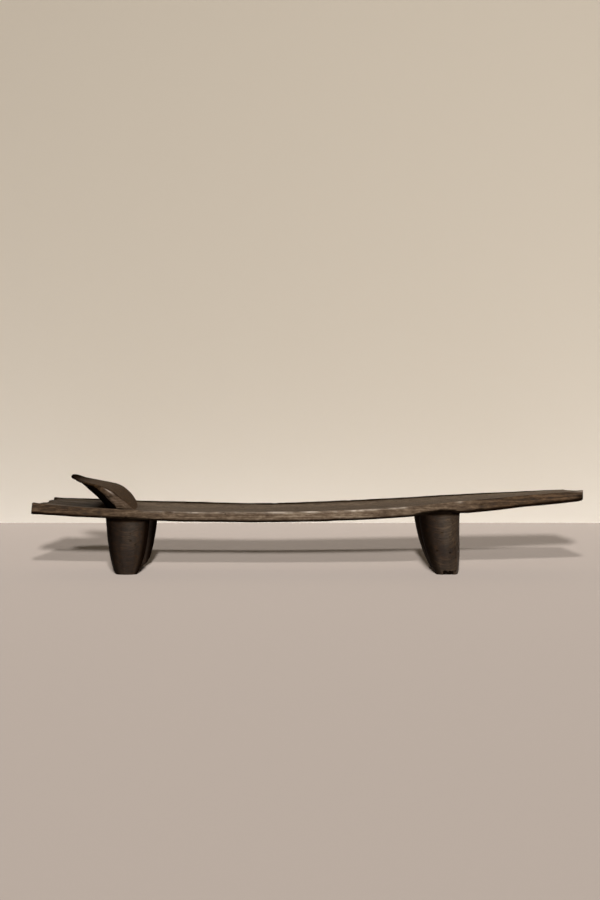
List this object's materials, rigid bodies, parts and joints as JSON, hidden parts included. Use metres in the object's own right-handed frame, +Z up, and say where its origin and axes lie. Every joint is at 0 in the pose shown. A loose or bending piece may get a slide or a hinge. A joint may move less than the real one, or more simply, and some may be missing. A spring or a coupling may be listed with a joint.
{
  "type": "daybed",
  "caption": "Low carved wooden daybed with a long dished deck that curves up at its ends, a raised overhanging headrest and tapered round legs.",
  "frame": {"origin": "on the floor under the middle of the bed's bounding box", "axes": "+X along the bed to the foot end, +Z up, -Y to the front"},
  "size_m": [2.109, 0.618, 0.382],
  "materials": {
    "deck_wood": "dark hand-rubbed patina over adzed hardwood, worn pale on the rims",
    "headrest_wood": "dark hand-rubbed patina, polished by use",
    "leg_wood": "near-black satin patina over carved hardwood"
  },
  "bodies": {
    "root": {"bed_plank": "deck_wood", "headrest": "headrest_wood", "leg_head_front": "leg_wood", "leg_head_back": "leg_wood", "leg_foot_front": "leg_wood", "leg_foot_back": "leg_wood"}
  },
  "joints": []
}
